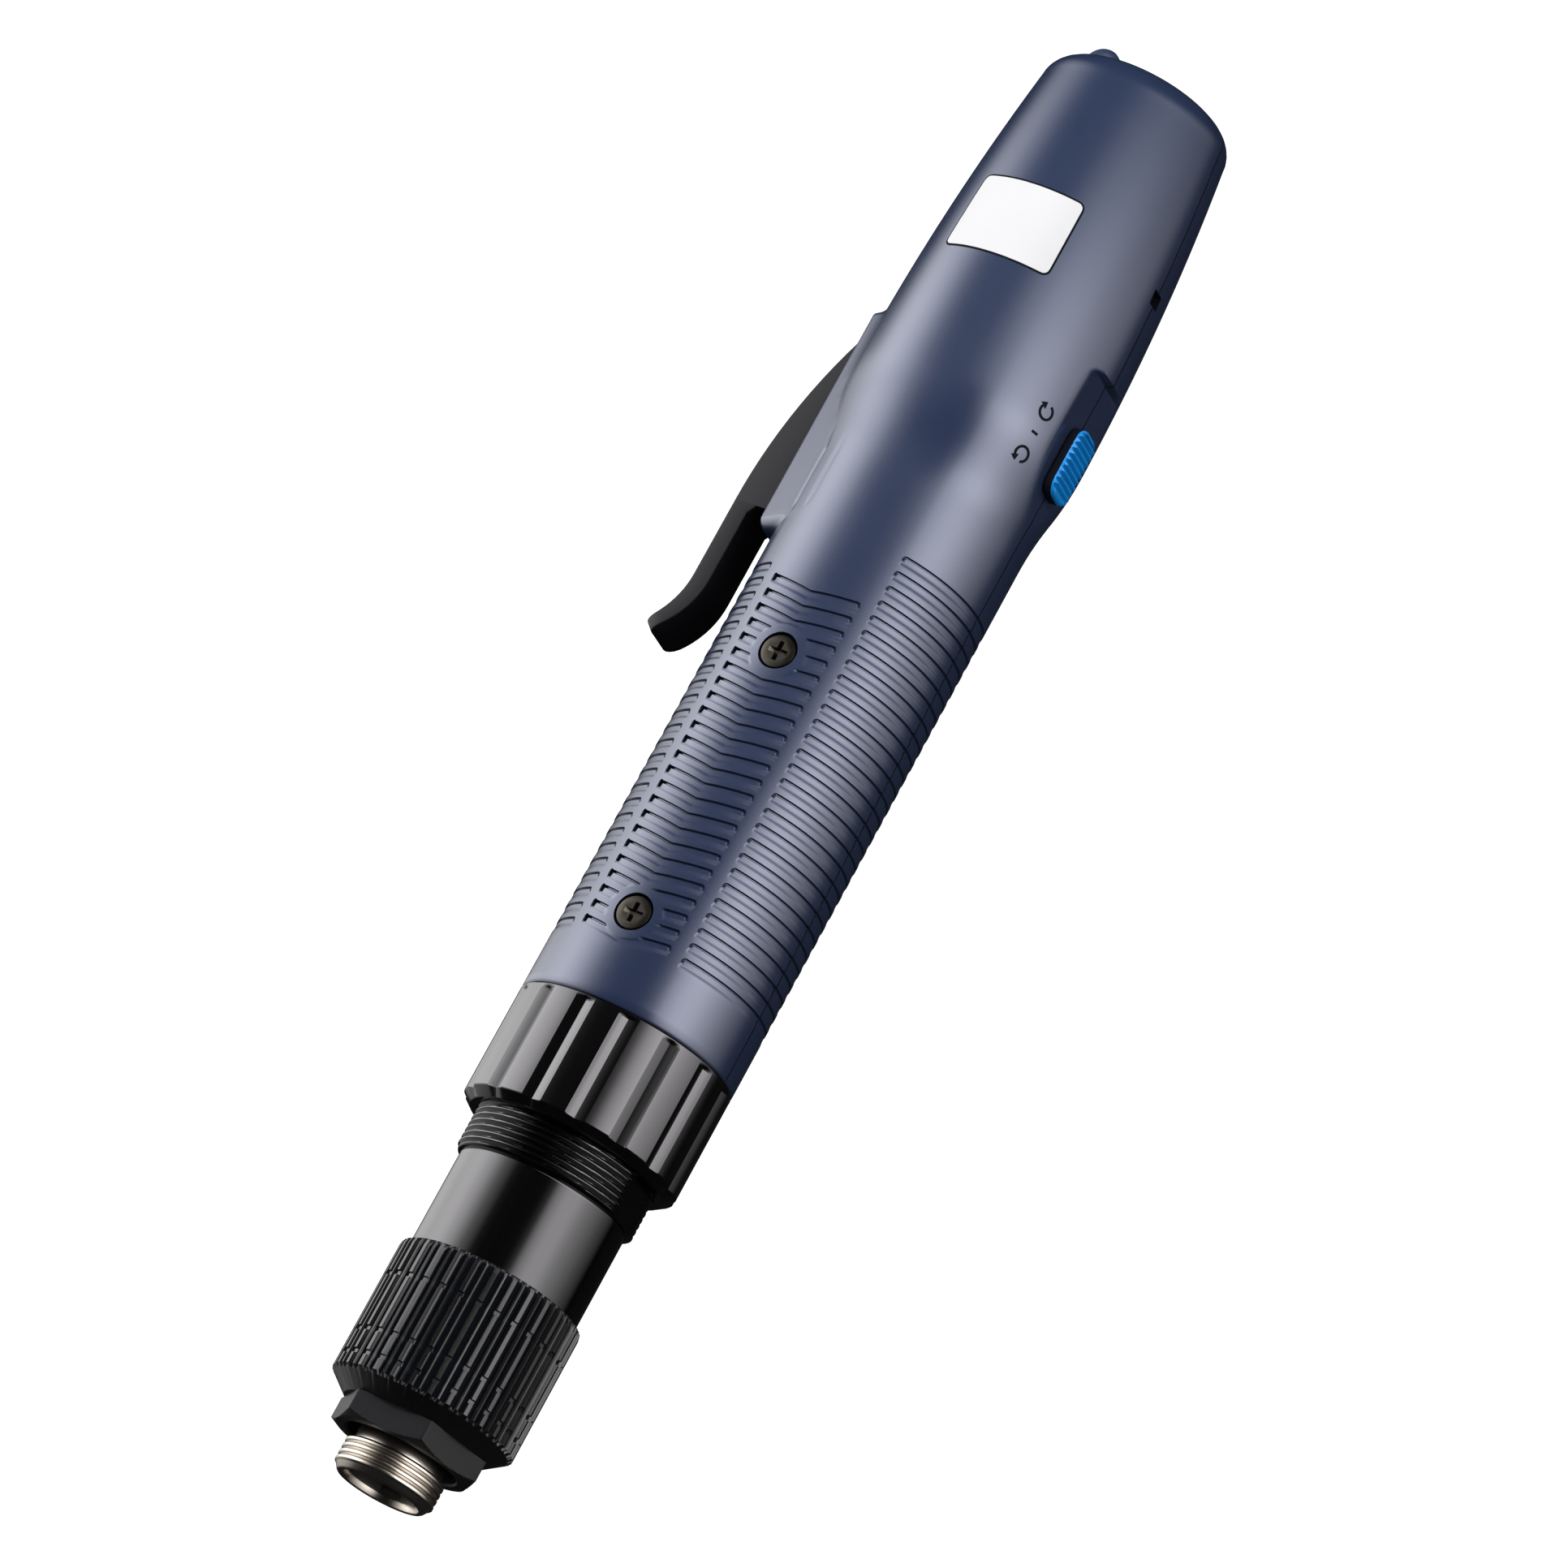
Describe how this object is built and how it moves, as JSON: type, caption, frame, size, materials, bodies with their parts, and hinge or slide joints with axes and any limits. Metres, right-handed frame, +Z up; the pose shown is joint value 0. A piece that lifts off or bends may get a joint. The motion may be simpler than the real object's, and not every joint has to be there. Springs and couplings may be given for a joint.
{
  "type": "electric screwdriver",
  "caption": "Slim inline lever-start electric screwdriver with a grooved clamshell grip, torque adjusting nut, quick-release hex bit collar and reversing slider.",
  "frame": {"origin": "centre of the bit collar's mouth, on the spindle axis", "axes": "+X along the spindle from the bit mouth to the rear socket, +Y to the start lever, +Z up out of the upper half-shell, which is the side that shows; the shells meet on Z = 0"},
  "size_m": [0.2583, 0.0513, 0.0392],
  "materials": {
    "housing_blue": "satin moulded slate blue",
    "front_black": "gloss black moulding",
    "case_black": "gloss black coat on die-cast metal",
    "nut_black": "matte black, ribbed",
    "collar_nickel": "satin nickel plate",
    "lever_grey": "satin dark grey moulding",
    "slider_blue": "vivid blue moulding",
    "screw_dark": "dark zinc plate",
    "steel": "turned",
    "spring_steel": "drawn wire",
    "bronze": "sintered",
    "copper": "enamelled copper winding",
    "magnet": "bare magnet",
    "core": "stacked sheet steel",
    "case_metal": "die cast",
    "inner_plastic": "matte moulding",
    "board": "green lacquer",
    "wire_red": "smooth insulation",
    "contact": "plated"
  },
  "bodies": {
    "base": {"housing_upper": "housing_blue", "housing_lower": "housing_blue", "housing_screws": "screw_dark", "hang_ear": "housing_blue", "front_collar": "front_black", "clutch_case": "case_black", "gear_case": "case_metal", "case_bearing": "steel", "ring_gear": "steel", "motor_can": "steel", "motor_end_cap": "inner_plastic", "front_motor_bearing": "steel", "rear_motor_bearing": "steel", "stator": "core", "stator_coils": "copper", "motor_clamp": "inner_plastic", "motor_leads": "wire_red", "control_board": "board", "board_carrier": "inner_plastic", "hall_sensor": "inner_plastic", "direction_switch": "inner_plastic", "socket_leads": "wire_red", "power_socket": "inner_plastic", "socket_pins": "contact", "lever_pin": "steel", "torque_spring": "spring_steel", "lever_spring": "spring_steel"},
    "rotor": {"motor_shaft": "steel", "rotor_magnet": "magnet", "sun_pinion": "steel"},
    "output": {"spindle": "steel", "planet_carrier": "steel", "planet_pins": "steel", "clutch_cam": "steel", "clutch_balls": "steel", "collar_clip": "spring_steel", "bit_balls": "steel", "collar_spring": "spring_steel"},
    "planet_1": {"planet_gear_1": "steel"},
    "planet_2": {"planet_gear_2": "steel"},
    "planet_3": {"planet_gear_3": "steel"},
    "collar": {"bit_collar": "collar_nickel"},
    "thrust": {"thrust_ring": "steel"},
    "plate": {"clutch_plate": "steel"},
    "seat": {"spring_seat": "steel"},
    "nut": {"torque_nut": "nut_black", "nose_bush": "bronze"},
    "lever": {"start_lever": "lever_grey", "lever_magnet": "magnet"},
    "slider": {"direction_slider": "slider_blue", "switch_knob": "inner_plastic"}
  },
  "joints": [
    {"name": "motor_spin", "type": "hinge", "parent": "base", "child": "rotor", "pos_m": [0.12, 0, 0], "axis": [1, 0, 0], "continuous": true},
    {"name": "output_spin", "type": "hinge", "parent": "base", "child": "output", "pos_m": [0.06, 0, 0], "axis": [1, 0, 0], "continuous": true},
    {"name": "planet_1_spin", "type": "hinge", "parent": "output", "child": "planet_1", "pos_m": [0.0864, 0.0075, 0], "axis": [1, 0, 0], "continuous": true},
    {"name": "planet_2_spin", "type": "hinge", "parent": "output", "child": "planet_2", "pos_m": [0.0864, -0.00375, 0.0065], "axis": [1, 0, 0], "continuous": true},
    {"name": "planet_3_spin", "type": "hinge", "parent": "output", "child": "planet_3", "pos_m": [0.0864, -0.00375, -0.0065], "axis": [1, 0, 0], "continuous": true},
    {"name": "collar_pull", "type": "slide", "parent": "output", "child": "collar", "axis": [1, 0, 0], "range_m": [0, 0.0025], "stiffness_N_per_m": 600, "springref_m": -0.004, "deforming": ["collar_spring"]},
    {"name": "clutch_lift", "type": "slide", "parent": "base", "child": "thrust", "axis": [-1, 0, 0], "range_m": [0, 0.0009], "stiffness_N_per_m": 5000, "springref_m": -0.004, "deforming": ["torque_spring"]},
    {"name": "plate_lift", "type": "slide", "parent": "output", "child": "plate", "axis": [-1, 0, 0], "range_m": [0, 0.0009]},
    {"name": "seat_slide", "type": "slide", "parent": "base", "child": "seat", "axis": [1, 0, 0], "range_m": [0, 0.009], "deforming": ["torque_spring"]},
    {"name": "torque_turn", "type": "hinge", "parent": "seat", "child": "nut", "pos_m": [0.02, 0, 0], "axis": [1, 0, 0], "range_deg": [0, 2160]},
    {"name": "lever_press", "type": "hinge", "parent": "base", "child": "lever", "pos_m": [0.1985, 0.0178, 0], "axis": [0, 0, 1], "range_deg": [0, 5], "stiffness_Nm_per_rad": 0.6, "springref_deg": -6.88, "deforming": ["lever_spring"]},
    {"name": "direction_slide", "type": "slide", "parent": "base", "child": "slider", "axis": [1, 0, 0], "range_m": [-0.0038, 0.0038]}
  ],
  "couplings": [
    {"joint": "output_spin", "follows": "motor_spin", "ratio": 0.2},
    {"joint": "planet_1_spin", "follows": "motor_spin", "ratio": -0.53333},
    {"joint": "planet_2_spin", "follows": "motor_spin", "ratio": -0.53333},
    {"joint": "planet_3_spin", "follows": "motor_spin", "ratio": -0.53333},
    {"joint": "plate_lift", "follows": "clutch_lift", "ratio": 1},
    {"joint": "seat_slide", "follows": "torque_turn", "m_per_rad": 0.0002387}
  ]
}
